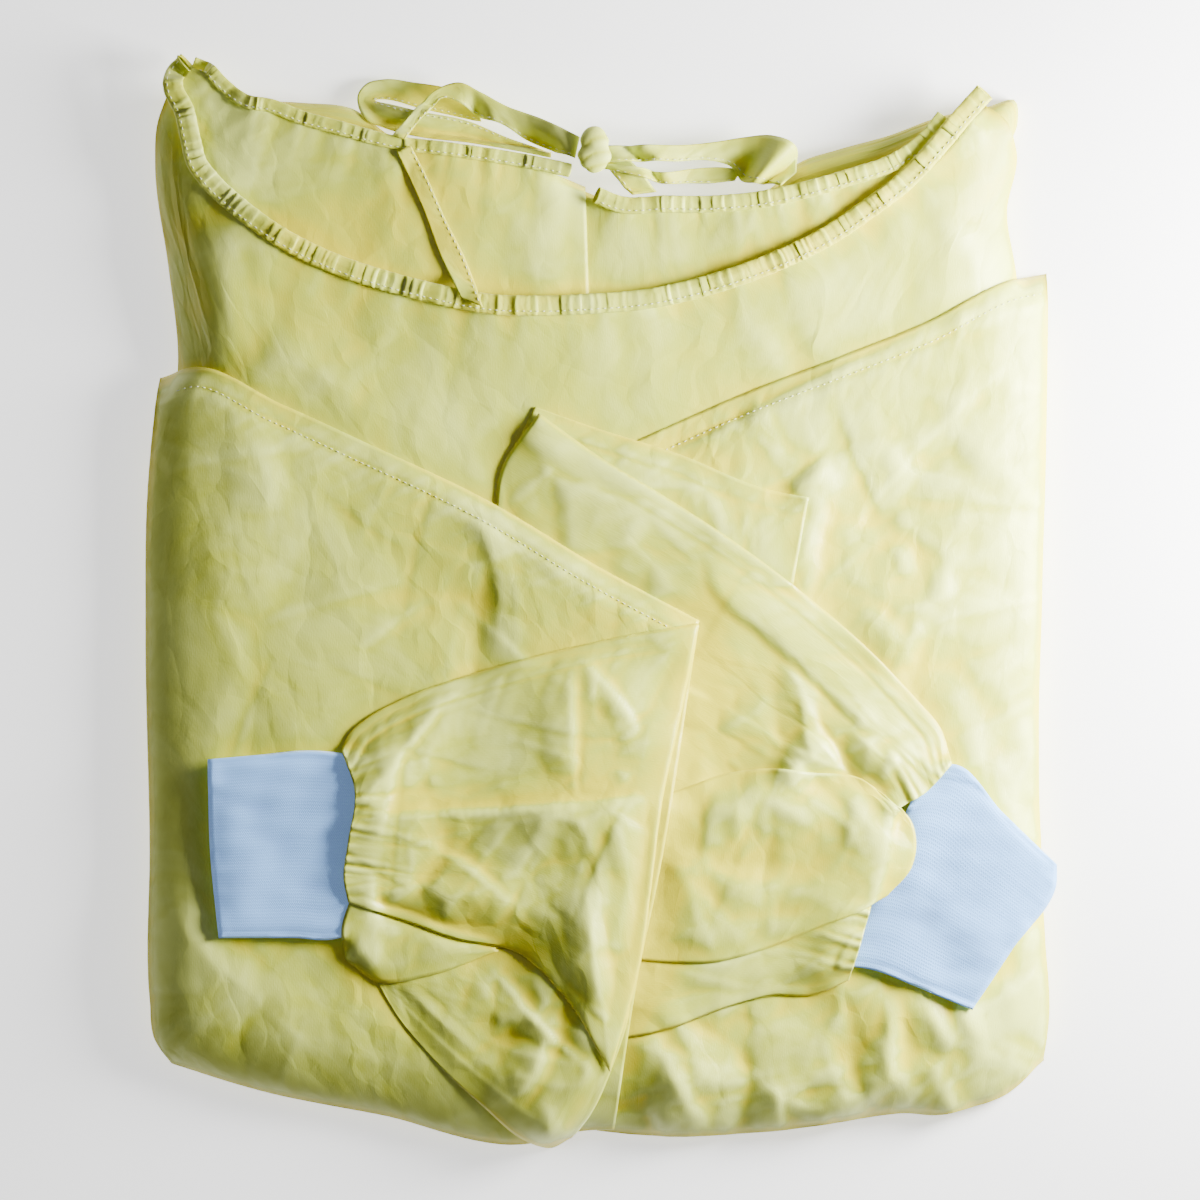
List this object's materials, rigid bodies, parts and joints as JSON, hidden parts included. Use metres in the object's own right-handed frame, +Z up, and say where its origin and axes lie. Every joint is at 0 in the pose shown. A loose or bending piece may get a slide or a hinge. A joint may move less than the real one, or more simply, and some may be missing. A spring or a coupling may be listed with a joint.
{
  "type": "procedure gown",
  "caption": "Folded disposable procedure gown lying front up, with a gathered neckline, knotted neck ties and both long sleeves with knit cuffs folded across the chest.",
  "frame": {"origin": "middle of the bounding box, on the surface that the folded gown lies on", "axes": "+Z up out of the surface, +Y towards the neckline, +X towards the wearer's left side"},
  "size_m": [0.4112, 0.4946, 0.0377],
  "materials": {
    "nonwoven_yellow": "matte spunbond nonwoven, crisp creases",
    "binding_yellow": "folded nonwoven tape, stitched",
    "knit_white": "fine rib knit, bluish white"
  },
  "bodies": {
    "root": {"folded_skirt": "nonwoven_yellow", "back_left": "nonwoven_yellow", "back_right": "nonwoven_yellow", "front": "nonwoven_yellow", "neck_binding_back_left": "binding_yellow", "neck_binding_back_right": "binding_yellow", "neck_binding_front": "binding_yellow", "tie_knot": "binding_yellow", "tie_right_loop": "binding_yellow", "tie_right_tail": "binding_yellow", "tie_right_top": "binding_yellow", "tie_left_root": "binding_yellow", "tie_left_loop_low": "binding_yellow", "tie_left_loop_top": "binding_yellow", "sleeve_left_upper": "nonwoven_yellow", "sleeve_left_elbow": "nonwoven_yellow", "sleeve_left_lower": "nonwoven_yellow", "sleeve_left_flap": "nonwoven_yellow", "sleeve_right_upper": "nonwoven_yellow", "sleeve_right_underfold": "nonwoven_yellow", "sleeve_right_strip": "nonwoven_yellow", "sleeve_right_lower": "nonwoven_yellow", "cuff_left": "knit_white", "cuff_right": "knit_white"}
  },
  "joints": []
}
